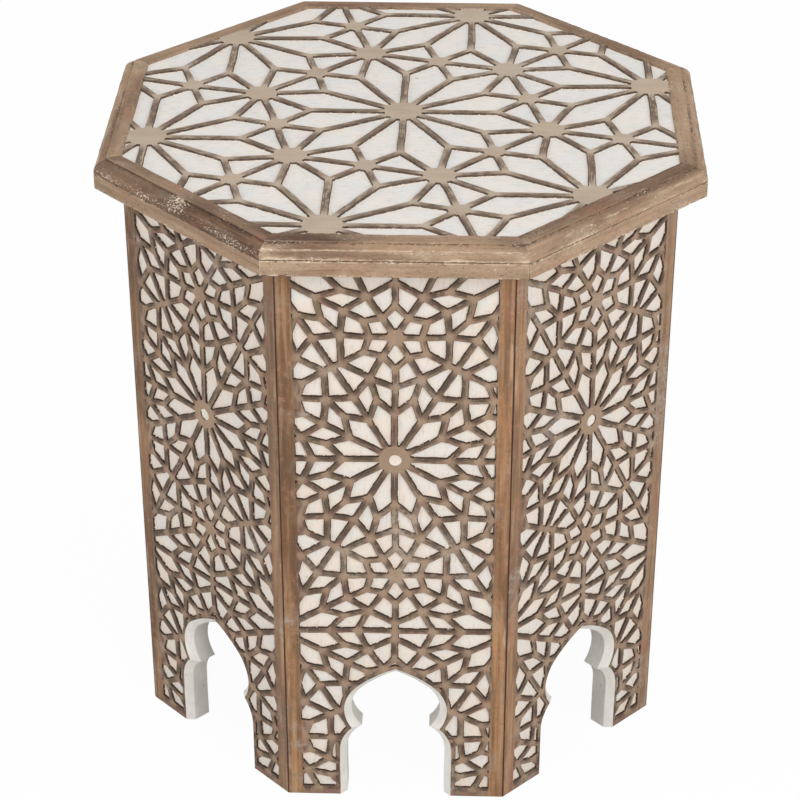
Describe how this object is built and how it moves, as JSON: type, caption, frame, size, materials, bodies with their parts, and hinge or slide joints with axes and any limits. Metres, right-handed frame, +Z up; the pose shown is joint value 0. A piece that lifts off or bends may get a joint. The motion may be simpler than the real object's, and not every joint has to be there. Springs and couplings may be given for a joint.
{
  "type": "octagonal side table",
  "caption": "Octagonal wooden side table with a carved top on a body of carved mitred panels, each open at its foot in a pointed lobed arch.",
  "frame": {"origin": "on the floor at the middle of the table", "axes": "+Z up, the front panel faces -Y, +X to the right seen from the front"},
  "size_m": [0.457, 0.457, 0.508],
  "materials": {
    "carved_wood": "brown stained wood with white painted carving, worn",
    "strip_wood": "brown stained wood, worn along its edges",
    "inner_wood": "raw sawn wood",
    "screw_steel": "zinc plated"
  },
  "bodies": {
    "root": {"top_board": "carved_wood", "edge_strip_1": "strip_wood", "edge_strip_2": "strip_wood", "edge_strip_3": "strip_wood", "edge_strip_4": "strip_wood", "edge_strip_5": "strip_wood", "edge_strip_6": "strip_wood", "edge_strip_7": "strip_wood", "edge_strip_8": "strip_wood", "side_panel_1": "carved_wood", "side_panel_2": "carved_wood", "side_panel_3": "carved_wood", "side_panel_4": "carved_wood", "side_panel_5": "carved_wood", "side_panel_6": "carved_wood", "side_panel_7": "carved_wood", "side_panel_8": "carved_wood", "corner_block_1": "inner_wood", "corner_block_2": "inner_wood", "corner_block_3": "inner_wood", "corner_block_4": "inner_wood", "corner_block_5": "inner_wood", "corner_block_6": "inner_wood", "corner_block_7": "inner_wood", "corner_block_8": "inner_wood", "top_cleat_1": "inner_wood", "top_cleat_2": "inner_wood", "top_cleat_3": "inner_wood", "top_cleat_4": "inner_wood", "top_cleat_5": "inner_wood", "top_cleat_6": "inner_wood", "top_cleat_7": "inner_wood", "top_cleat_8": "inner_wood", "board_screws": "screw_steel", "cleat_screws": "screw_steel"}
  },
  "joints": []
}
